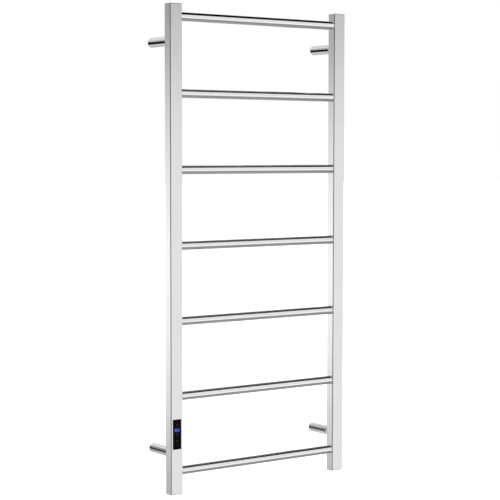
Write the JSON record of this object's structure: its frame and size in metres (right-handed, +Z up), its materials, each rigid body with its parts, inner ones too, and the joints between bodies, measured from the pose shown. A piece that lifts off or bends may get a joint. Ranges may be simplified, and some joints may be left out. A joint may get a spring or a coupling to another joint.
{
  "type": "heated towel rail",
  "caption": "Wall-hung ladder towel warmer: two rectangular posts, round horizontal bars, round standoffs to the wall and a touch panel let into one post.",
  "frame": {"origin": "middle of the rectangle of the four wall-fixing screw holes, on the wall plane", "axes": "+Z up, +Y into the wall, +X to the right seen from the room; the front faces -Y"},
  "size_m": [0.5, 0.1004, 1.1],
  "materials": {
    "post_steel": "satin polished stainless steel",
    "bar_steel": "mirror polished stainless steel",
    "standoff_steel": "mirror polished stainless steel, slightly warm",
    "zinc_steel": "zinc plated",
    "panel_glass": "black back-printed glass, glossy",
    "black_plastic": "moulded, matt",
    "spring_steel": "spring temper",
    "board_green": "solder mask",
    "display_blue": "dark filter",
    "led_red": "tinted clear",
    "pad_foam": "conductive foam",
    "relay_blue": "moulded",
    "terminal_ivory": "moulded",
    "cutout_tan": "ceramic body",
    "black_rubber": "moulded",
    "cable_silicone": "silicone sheath",
    "tinned_brass": "tinned"
  },
  "bodies": {
    "root": {"left_post": "post_steel", "right_post": "post_steel", "left_top_cap": "post_steel", "left_bottom_cap": "post_steel", "right_top_cap": "post_steel", "right_bottom_cap": "post_steel", "bar_1": "bar_steel", "bar_2": "bar_steel", "bar_3": "bar_steel", "bar_4": "bar_steel", "bar_5": "bar_steel", "bar_6": "bar_steel", "bar_7": "bar_steel", "standoff_top_left": "standoff_steel", "standoff_top_right": "standoff_steel", "standoff_bottom_left": "standoff_steel", "standoff_bottom_right": "standoff_steel", "wall_spigot_top_left": "zinc_steel", "wall_spigot_top_right": "zinc_steel", "wall_spigot_bottom_left": "zinc_steel", "wall_spigot_bottom_right": "zinc_steel", "rivet_nuts": "zinc_steel", "sleeve_bolts": "zinc_steel", "grub_screws": "zinc_steel", "earth_stud": "zinc_steel", "earth_nut": "zinc_steel", "glass_panel": "panel_glass", "control_box": "black_plastic", "box_lid": "black_plastic", "power_module": "black_plastic", "box_clips": "spring_steel", "temperature_probe": "spring_steel", "control_board": "board_green", "display_module": "display_blue", "indicator_led": "led_red", "touch_pads": "pad_foam", "relay": "relay_blue", "terminal_block": "terminal_ivory", "thermal_cutout": "cutout_tan", "cable_seal": "black_rubber", "cable_end_seal": "black_rubber", "left_bushes": "black_rubber", "right_bushes": "black_rubber", "mains_grommet": "black_rubber", "heating_cable": "cable_silicone", "earth_tag": "tinned_brass"}
  },
  "joints": []
}
